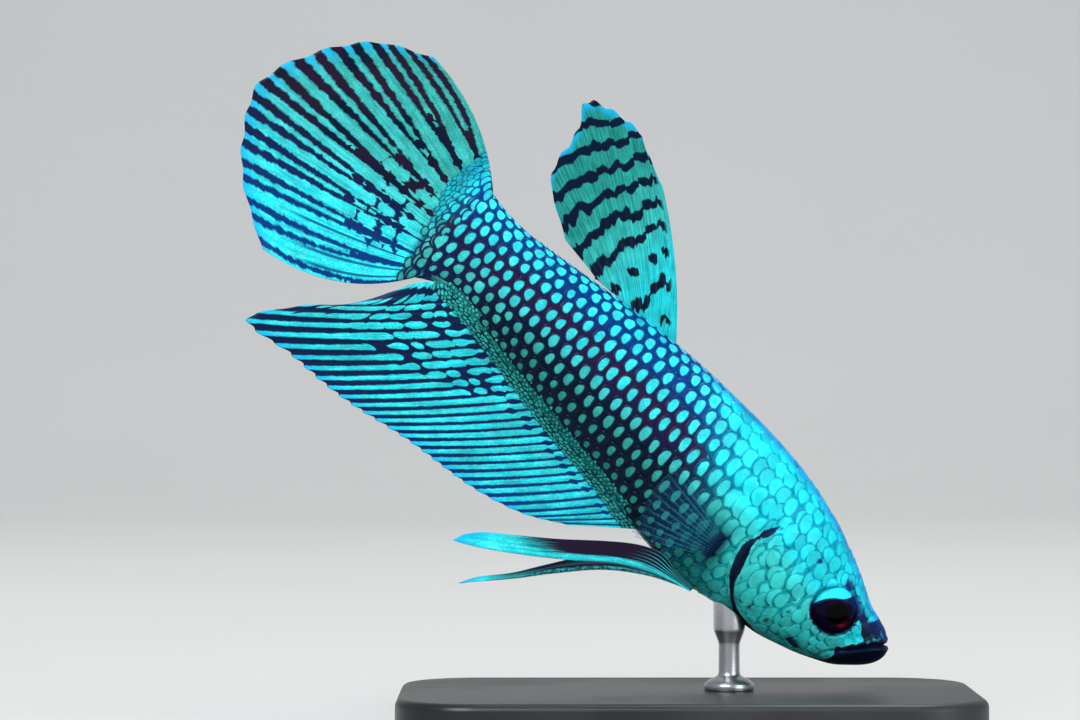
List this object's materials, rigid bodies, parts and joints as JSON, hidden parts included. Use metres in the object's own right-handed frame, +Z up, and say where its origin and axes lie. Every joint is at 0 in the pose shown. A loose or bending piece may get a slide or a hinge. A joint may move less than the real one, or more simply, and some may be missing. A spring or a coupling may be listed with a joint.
{
  "type": "betta fish",
  "caption": "Life-size still model of a short-finned turquoise betta diving nose-down, held by a short rod on a flat base.",
  "frame": {"origin": "centre of the underside of the stand's base, on the surface it rests on", "axes": "+Z up; +X the way the fish's head points, seen from above; +Y to the fish's left"},
  "size_m": [0.0555, 0.026, 0.0528],
  "materials": {
    "head_scales": "wet sheen, merged turquoise scales",
    "body_scales": "wet sheen, a turquoise spot on each dark scale",
    "lips": "smooth dark navy skin",
    "eye": "clear cornea over a dark iris",
    "fin_membrane": "turquoise rays with dark web between them",
    "clear_fin": "glassy, nearly clear web with fine rays",
    "stand_base": "satin black",
    "stand_rod": "fine satin"
  },
  "bodies": {
    "root": {"head": "head_scales", "lower_jaw": "lips", "gill_cover_right": "head_scales", "gill_cover_left": "head_scales", "eye_right": "eye", "eye_left": "eye", "trunk": "body_scales", "tail_stalk": "body_scales", "dorsal_fin": "fin_membrane", "anal_fin": "fin_membrane", "tail_fin": "fin_membrane", "pelvic_fin_right": "fin_membrane", "pelvic_fin_left": "fin_membrane", "pectoral_fin_right": "clear_fin", "pectoral_fin_left": "clear_fin", "stand_base": "stand_base", "stand_rod": "stand_rod"}
  },
  "joints": []
}
